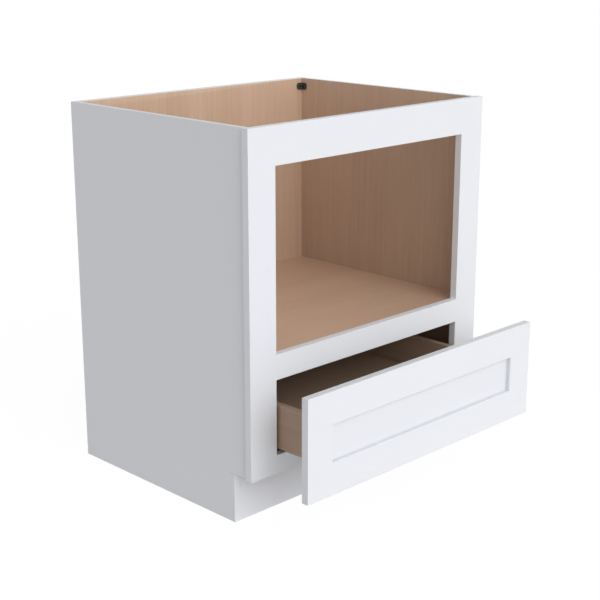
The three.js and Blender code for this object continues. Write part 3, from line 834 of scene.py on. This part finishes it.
for name, outer, inner in zip(("bottom", "top"), outer_levels, inner_levels):
    form = merged(f"front_{name}_rail")
    shift(form, X, border_inner - GLUE, border_inner)
    shift(form, X, lap_end, lap_end + GLUE)
    shift(form, Y, panel_front, recess_face, mirrored=False)
    bmesh.ops.dissolve_degenerate(form, dist=NEAR, edges=form.edges)
    bmesh.ops.remove_doubles(form, verts=form.verts, dist=NEAR)
    ease(form, EASE, lambda edge: (
        runs_along(edge, X) and on_skin(edge, y=front_faces, z=(outer,))
    ))
    ease(form, RECESS_EASE, lambda edge: (
        runs_along(edge, X) and on_skin(edge, y=front_faces[:1], z=(inner,))
    ), 3)
    settle_white(f"drawer_front_{name}_rail", form, "drawer", white_and_painted_shade, f"front_{name}_rail")

for hand in HANDS:
    form = merged(f"front_stile_{hand}")
    cut_across(form, inner_levels)
    ease(form, EASE, front_edge)
    ease(form, RECESS_EASE, lambda edge: (
        runs_along(edge, Z) and inner_levels[0] < middle(edge).z < inner_levels[1]
        and on_skin(edge, x=(border_inner,), y=front_faces[:1])
    ), 3)
    settle_white(f"drawer_front_stile_{hand}", form, "drawer", white_and_painted_shade, f"front_stile_{hand}")

form = merged("front_panel")
shift(form, Y, panel_front, recess_face, mirrored=False)
settle_white("drawer_front_panel", form, "drawer", white_and_painted_shade, "front_panel")
print("recess is", round((recess_face - front_low.y) / MM, 2), "mm deep, border",
      round(border / MM, 1), "mm")

# %% [markdown]
# ## The drawer box
# Solid maple boards with dovetailed corners around a plywood bottom. Their top edges are rounded
# over, which is what a hand feels. Long grain runs the length of each board, and faces that look
# along the grain are end grain.

# %% Make the drawer box
box_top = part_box("drawer_side_right")[1].z
ROUND_OVER = 2.0 * MM
LONG_EDGE = 300 * MM


def box_board(node, grain, finish):
    form = merged(node)
    ease(form, ROUND_OVER, lambda edge: (
        runs_along(edge, grain) and edge.calc_length() > LONG_EDGE and on_skin(edge, z=(box_top,))
    ), 4)
    settle(f"{node}_board", form, "drawer", [finish, board_end],
           lambda face: 1 if abs(face.normal[grain]) > 0.7 else 0, [node])


# The left side takes the darker copy of the maple, which is painted shade.
for node, grain, finish in (
    ("drawer_side_left", Y, board_shaded), ("drawer_side_right", Y, board_pale),
    ("drawer_box_front", X, board_across), ("drawer_box_back", X, board_across),
):
    box_board(node, grain, finish)

bottom_low, bottom_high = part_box("drawer_bottom")
bottom_plies = plies("bottom_plies", "z", bottom_low.z, bottom_high.z - bottom_low.z, 7)
form = merged("drawer_bottom")
settle("drawer_bottom_board", form, "drawer", [board_across, bottom_plies],
       lambda face: 0 if abs(face.normal.z) > 0.7 else 1, ["drawer_bottom"])
print("drawer boards top out at", round(box_top / MM, 1), "mm")

# %% [markdown]
# ## Shapes that a tree of nodes makes
# Screws, rollers and punched slots repeat, so each is described once, as a tree of Geometry Nodes
# with named sizes, and the tree sets it down at every place. The export drops instances, so each
# tree ends by making them real and giving them their finish, and a plain mesh is what stays.

# %% Start, end and run a tree
def shape_tree(name, inputs):
    tree = bpy.data.node_groups.new(name, "GeometryNodeTree")
    kinds = {"Geometry": "Geometry", **inputs, "Finish": "Material"}
    for label, kind in kinds.items():
        tree.interface.new_socket(name=label, in_out="INPUT", socket_type=f"NodeSocket{kind}")
    tree.interface.new_socket(name="Geometry", in_out="OUTPUT", socket_type="NodeSocketGeometry")
    graph = Graph(tree)
    start = tree.nodes.new("NodeGroupInput")
    return graph, {label: Value(graph, start.outputs[label]) for label in kinds}


def end_tree(graph, geometry, given):
    whole = graph.node("GeometryNodeRealizeInstances", sockets={0: geometry})
    dressed = graph.node(
        "GeometryNodeSetMaterial", sockets={"Geometry": whole, "Material": given["Finish"]}
    )
    graph.node("NodeGroupOutput", sockets={0: dressed})


def grown(name, mesh, graph, sizes):
    """The plain mesh that a tree makes of a mesh with these sizes."""
    holder = shown(name, mesh)
    modifier = holder.modifiers.new(name, "NODES")
    modifier.node_group = graph.tree
    for item in graph.tree.interface.items_tree:
        if item.in_out == "INPUT" and item.name in sizes:
            modifier[item.identifier] = sizes[item.name]
    evaluated = holder.evaluated_get(bpy.context.evaluated_depsgraph_get())
    result = bpy.data.meshes.new_from_object(evaluated)
    holder.modifiers.remove(modifier)
    bpy.data.objects.remove(holder)
    result.name = name
    return result


def cylinder(graph, sides, steps, radius, length):
    sockets = {"Vertices": sides, "Side Segments": steps, "Radius": radius, "Depth": length}
    return graph.node("GeometryNodeMeshCylinder", {"fill_type": "NGON"}, sockets)


def bar(graph, x, y, z):
    return graph.node("GeometryNodeMeshCube", sockets={"Size": graph.joined(x, y, z)})


def moved(graph, geometry, place=(0, 0, 0), turn=(0, 0, 0)):
    sockets = {"Geometry": geometry, "Translation": place, "Rotation": turn}
    return graph.node("GeometryNodeTransform", sockets=sockets)


def point_place(graph):
    """Where each point of a shape lies, as x, y and z."""
    place = graph.node("GeometryNodeInputPosition")
    return (graph.part(place, letter) for letter in "XYZ")


def reshaped(graph, geometry, x, y, z):
    sockets = {"Geometry": geometry, "Position": graph.joined(x, y, z)}
    return graph.node("GeometryNodeSetPosition", sockets=sockets)


def cut_out(graph, solid, cutters):
    settings = {"operation": "DIFFERENCE", "solver": "EXACT"}
    return graph.node("GeometryNodeMeshBoolean", settings, {"Mesh 1": solid, "Mesh 2": cutters})


def together(graph, *geometries):
    return graph.node("GeometryNodeJoinGeometry", sockets={0: list(geometries)})


def put_on(graph, points, instance, **more):
    sockets = {"Points": points, "Instance": instance, **more}
    return graph.node("GeometryNodeInstanceOnPoints", sockets=sockets)


def row(graph, count, start, step):
    sockets = {"Count": count, "Start Location": start, "Offset": step}
    return graph.node("GeometryNodeMeshLine", {"mode": "OFFSET"}, sockets)


# %% [markdown]
# ## Screws
# A pan head with a cross recess, and a pointed shank with a real thread. A lathe profile could
# give the head, but the thread has to turn with the angle, so both start as cylinders whose points
# are moved by a rule: the head narrows towards its top, and the shank's radius follows a saw wave
# of its height plus its angle. Nobody lines screws up, so each is turned by a random part of a
# quarter turn.

# %% Build the screw tree
THREAD_STEPS = 96
THREAD_DEPTH = 0.26
HEAD_TAPER = 0.34
RECESS_LONG, RECESS_WIDE, RECESS_DEEP = 1.15, 0.24, 1.3
SUNK = 0.3 * MM

screw_graph, screw_in = shape_tree("screws", {
    "Head Radius": "Float", "Head Height": "Float", "Shank Radius": "Float", "Length": "Float",
    "Pitch": "Float",
})


def screw_head(graph, given):
    radius, height = given["Head Radius"], given["Head Height"]
    x, y, z = point_place(graph)
    rise = 0.5 - z / height
    narrow = 1 - HEAD_TAPER * rise ** 3
    disc = cylinder(graph, 32, 6, radius, height)
    head = reshaped(graph, disc, x * narrow, y * narrow, z - height / 2)
    top = graph.joined(0, 0, 0 - height)
    wings = [
        moved(graph, bar(graph, radius * long, radius * wide, height * RECESS_DEEP), top)
        for long, wide in ((RECESS_LONG, RECESS_WIDE), (RECESS_WIDE, RECESS_LONG))
    ]
    return cut_out(graph, head, wings)


def screw_shank(graph, given):
    radius, length = given["Shank Radius"], given["Length"]
    x, y, z = point_place(graph)
    along = z + length / 2
    around = graph.math("ARCTAN2", y, x) / math.tau
    ridge = 1 - graph.math("MINIMUM", abs((along / given["Pitch"] + around) % 1 - 0.5) * 3.2, 1)
    point = graph.math("MINIMUM", (length - along) / radius * 0.4 + 0.12, 1)
    size = (1 - THREAD_DEPTH + THREAD_DEPTH * ridge) * point
    rod = cylinder(graph, 20, THREAD_STEPS, radius, length)
    return reshaped(graph, rod, x * size, y * size, along - SUNK)


whole_screw = together(
    screw_graph, screw_head(screw_graph, screw_in), screw_shank(screw_graph, screw_in))
way = screw_graph.node(
    "GeometryNodeInputNamedAttribute", {"data_type": "FLOAT_VECTOR"}, {"Name": "way"})
facing = screw_graph.node("FunctionNodeAlignRotationToVector", {"axis": "Z"}, {"Vector": way})
quarter = screw_graph.node(
    "FunctionNodeRandomValue", {"data_type": "FLOAT"}, {2: 0.0, 3: math.pi / 2, "Seed": 7}, 1)
seated = put_on(screw_graph, screw_in["Geometry"], whole_screw, Rotation=facing)
turned = screw_graph.node("GeometryNodeRotateInstances", sockets={
    "Instances": seated, "Rotation": screw_graph.joined(0, 0, quarter)})
end_tree(screw_graph, turned, screw_in)
print("screw tree:", len(screw_graph.tree.nodes), "nodes")

# %% Seat the screws
def seat_of(node, head_height):
    """Where a CAD screw's head seats, and the way that it points, from its own corners."""
    low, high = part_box(node)
    size = high - low
    axis = max(range(3), key=lambda a: size[a])
    centre = (low + high) / 2
    corners = [v.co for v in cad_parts[node].data.vertices]

    def breadth(level):
        ring = [c.copy() for c in corners if abs(c[axis] - level) < 0.05 * MM]
        for corner in ring:
            corner[axis] = centre[axis]
        return max((corner - centre).length for corner in ring)

    head_low = breadth(low[axis]) > breadth(high[axis])
    seat = centre.copy()
    seat[axis] = low[axis] + head_height if head_low else high[axis] - head_height
    direction = [0.0, 0.0, 0.0]
    direction[axis] = 1.0 if head_low else -1.0
    return seat, direction, size[axis] - head_height


def drive_screws(name, nodes, body, finish, sizes):
    seats = [seat_of(node, sizes["Head Height"]) for node in nodes]
    points = bpy.data.meshes.new(f"{name}_seats")
    points.from_pydata([seat for seat, _, _ in seats], [], [])
    ways = points.attributes.new("way", "FLOAT_VECTOR", "POINT")
    ways.data.foreach_set("vector", [value for _, given, _ in seats for value in given])
    length = seats[0][2]
    mesh = grown(name, points, screw_graph, {**sizes, "Length": length, "Finish": finish})
    place_piece(name, mesh, body, nodes, smooth=32)
    print(name, len(nodes), "screws,", len(mesh.polygons), "faces")


SMALL_SCREW = {
    "Head Radius": 3.0 * MM, "Head Height": 1.75 * MM, "Shank Radius": 1.5 * MM, "Pitch": 1.2 * MM}
LARGE_SCREW = {
    "Head Radius": 4.0 * MM, "Head Height": 2.25 * MM, "Shank Radius": 2.0 * MM, "Pitch": 1.8 * MM}

bracket_screws = [
    f"{end}_{hand}_bracket_{way}_screw"
    for hand in HANDS for end in ("rear", "front") for way in ("cross", "side")
]
drive_screws("bracket_screws", bracket_screws, "carcass", black_screw, SMALL_SCREW)
for node, body, marks in (
    ("slide_foot_screw", "carcass", HANDS), ("rear_bracket_screw", "carcass", HANDS),
    ("drawer_front_screw", "drawer", range(1, 5)),
):
    drive_screws(f"{node}s", [f"{node}_{mark}" for mark in marks], body, zinc_steel,
                 LARGE_SCREW)

# %% [markdown]
# ## Slides
# Each slide is a channel on the cabinet floor, an I-shaped member between, and an upturned channel
# under the drawer. Steel this thin is rolled, so its long edges are soft. The cabinet member's foot
# is punched with slots for the fitter's screws, and the middle member's web to save weight. A tree
# cuts both: the cutter is the hull of two short cylinders, set down along a row.

# %% Build the punch tree
punch_graph, punch_in = shape_tree("punched_row", {
    "Count": "Int", "First": "Vector", "Step": "Vector", "Slot Length": "Float",
    "Slot Width": "Float", "Reach": "Float", "Turn": "Vector",
})


def slot_cutter(graph, given):
    reach = (given["Slot Length"] - given["Slot Width"]) / 2
    ends = [
        moved(graph, cylinder(graph, 16, 1, given["Slot Width"] / 2, given["Reach"]),
              graph.joined(0, reach * way, 0))
        for way in (-1, 1)
    ]
    hull = graph.node("GeometryNodeConvexHull", sockets={0: together(graph, *ends)})
    return moved(graph, hull, turn=given["Turn"])


cutters = put_on(
    punch_graph, row(punch_graph, punch_in["Count"], punch_in["First"], punch_in["Step"]),
    slot_cutter(punch_graph, punch_in))
cutters = punch_graph.node("GeometryNodeRealizeInstances", sockets={0: cutters})
end_tree(punch_graph, cut_out(punch_graph, punch_in["Geometry"], cutters), punch_in)
print("punch tree:", len(punch_graph.tree.nodes), "nodes")

# %% Make the slide members
ROLLED_EDGE = 0.4 * MM
FOOT = 16 * MM
PUNCH_REACH = 8 * MM
ON_ITS_SIDE = (0, math.pi / 2, 0)


def rolled(node):
    form = merged(node)
    ease(form, ROLLED_EDGE, lambda edge: runs_along(edge, Y) and edge.calc_length() > LONG_EDGE)
    return mesh_of(f"{node}_blank", form)


def punched_member(node, body, slots):
    sizes = {**slots, "Reach": PUNCH_REACH, "Finish": zinc_steel}
    mesh = grown(f"{node}_steel", rolled(node), punch_graph, sizes)
    place_piece(f"{node}_steel", mesh, body, [node])
    return len(mesh.polygons)


for hand in HANDS:
    low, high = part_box(f"slide_cabinet_member_{hand}")
    foot_x = high.x - FOOT / 2 if hand == "right" else low.x + FOOT / 2
    faces = punched_member(f"slide_cabinet_member_{hand}", "carcass", {
        "Count": 7, "First": (foot_x, low.y + 84 * MM, low.z), "Step": (0, 64 * MM, 0),
        "Slot Length": 14 * MM, "Slot Width": 5 * MM, "Turn": (0, 0, 0)})
    low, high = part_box(f"slide_middle_member_{hand}")
    centre = (low + high) / 2
    punched_member(f"slide_middle_member_{hand}", f"middle_member_{hand}", {
        "Count": 6, "First": (centre.x, low.y + 50 * MM, centre.z), "Step": (0, 80 * MM, 0),
        "Slot Length": 24 * MM, "Slot Width": 6 * MM, "Turn": ON_ITS_SIDE})
    node = f"slide_drawer_member_{hand}"
    place_piece(f"{node}_steel", rolled(node), "drawer", [node], finish=zinc_steel)
print("cabinet member:", faces, "faces")

# %% [markdown]
# ## Roller cages
# Between the members run flat nylon cages, ladders that keep eight rollers apart. The tree makes
# one rail pair, a row of crossbars and a row of rollers with chamfered ends.

# %% Build and set down the cages
CHAMFER_START = 0.94
CHAMFER = 0.25

cage_graph, cage_in = shape_tree("roller_cage", {
    "Count": "Int", "Pitch": "Float", "Roller Radius": "Float", "Roller Length": "Float",
    "Width": "Float", "Plate": "Float",
})


def cage_row(graph, given, count, instance):
    first = (count - 1) * given["Pitch"] * -0.5
    steps = row(graph, count, graph.joined(0, first, 0), graph.joined(0, given["Pitch"], 0))
    return put_on(graph, steps, instance)


def roller(graph, given):
    radius, length = given["Roller Radius"], given["Roller Length"]
    x, y, z = point_place(graph)
    near_end = graph.math("MAXIMUM", abs(z) / length * 2 - CHAMFER_START, 0) * 16
    size = 1 - near_end * CHAMFER
    rod = cylinder(graph, 20, 32, radius, length)
    return moved(graph, reshaped(graph, rod, x * size, y * size, z), turn=ON_ITS_SIDE)


ROLLERS = 8
ROLLER_LENGTH = 20 * MM
PLATE = 1.25 * MM
RAIL = 2.4 * MM
CROSSBAR_SHARE = 0.62

crossbar = bar(
    cage_graph, cage_in["Width"] - RAIL, cage_in["Pitch"] * CROSSBAR_SHARE, cage_in["Plate"])
long_rail = bar(cage_graph, RAIL, cage_in["Count"] * cage_in["Pitch"], cage_in["Plate"])
rails = [
    moved(cage_graph, long_rail,
          cage_graph.joined((cage_in["Width"] / 2 - RAIL / 2) * way, 0, 0))
    for way in (-1, 1)
]
ladder = together(
    cage_graph, *rails,
    cage_row(cage_graph, cage_in, cage_in["Count"] - 1, crossbar),
    cage_row(cage_graph, cage_in, cage_in["Count"], roller(cage_graph, cage_in)))
end_tree(cage_graph, put_on(cage_graph, cage_in["Geometry"], ladder), cage_in)

for hand in HANDS:
    for level in ("lower", "upper"):
        node = f"{level}_roller_cage_{hand}"
        low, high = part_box(node)
        spot = bpy.data.meshes.new(f"{node}_spot")
        spot.from_pydata([(low + high) / 2], [], [])
        mesh = grown(f"{node}_ladder", spot, cage_graph, {
            "Count": ROLLERS, "Pitch": (high.y - low.y) / ROLLERS,
            "Roller Radius": (high.z - low.z) / 2, "Roller Length": ROLLER_LENGTH,
            "Width": high.x - low.x, "Plate": PLATE, "Finish": grey_plastic,
        })
        place_piece(f"{node}_ladder", mesh, f"{level}_cage_{hand}", [node],
                    smooth=35)
print("cage:", len(mesh.polygons), "faces")

# %% [markdown]
# ## Corner brackets, clips, levers and sockets
# The black nylon brackets in the top corners take the worktop's screws. They and the slides' grey
# and orange mouldings are right in their solids, and only lack the radius that a mould leaves.

# %% Soften the mouldings
def mould(node, body, finish, radius, shortest):
    form = merged(node)
    eased = ease(form, radius, lambda edge: edge.calc_length() > shortest)
    settle(f"{node}_moulded", form, body, [finish], replaced=[node])
    return eased


for hand in HANDS:
    for end in ("rear", "front"):
        mould(f"corner_{end}_{hand}_bracket", "carcass", black_plastic,
              radius=0.5 * MM, shortest=6 * MM)
    mould(f"rear_slide_bracket_{hand}", "carcass", grey_plastic,
          radius=0.6 * MM, shortest=15 * MM)
    mould(f"locking_clip_{hand}", "drawer", grey_plastic,
          radius=0.6 * MM, shortest=7 * MM)
    eased = mould(f"release_lever_{hand}", f"lever_{hand}", orange_plastic,
                  radius=0.7 * MM, shortest=3.5 * MM)
print("lever edges eased:", eased)

# %% [markdown]
# ## Bumpers
# Two clear rubber domes on the drawer front's back keep it from slapping the frame. Each is a
# profile turned about its axis, with a flat base where it sticks and a low crown.

# %% Turn the bumpers
BASE_SHARE = 0.22
CROWN_STEPS = 6


def turned_form(profile, centre, sides):
    """A closed solid of revolution about Y from (radius, distance) points."""
    form = bmesh.new()
    corners = [form.verts.new(centre + Vector((radius, along, 0))) for radius, along in profile]
    edges = [form.edges.new(pair) for pair in zip(corners, corners[1:])]
    bmesh.ops.spin(form, geom=corners + edges, cent=centre, axis=(0, 1, 0),
                   angle=math.tau, steps=sides, use_merge=True)
    bmesh.ops.remove_doubles(form, verts=form.verts, dist=NEAR / 10)
    bmesh.ops.recalc_face_normals(form, faces=form.faces)
    return form


for hand in HANDS:
    low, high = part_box(f"bumper_{hand}")
    centre = (low + high) / 2
    centre.y = low.y
    radius = (high.x - low.x) / 2
    height = high.y - low.y
    profile = [(0, 0), (radius, 0), (radius, height * BASE_SHARE)]
    for step in range(1, CROWN_STEPS + 1):
        turn = math.radians(90 / CROWN_STEPS * step)
        rise = BASE_SHARE + (1 - BASE_SHARE) * math.sin(turn)
        profile.append((radius * math.cos(turn), height * rise))
    settle(f"bumper_{hand}_dome", turned_form(profile, centre, 32), "drawer",
           [clear_rubber], replaced=[f"bumper_{hand}"], smooth=50)
print("bumper radius", round(radius / MM, 1), "mm")
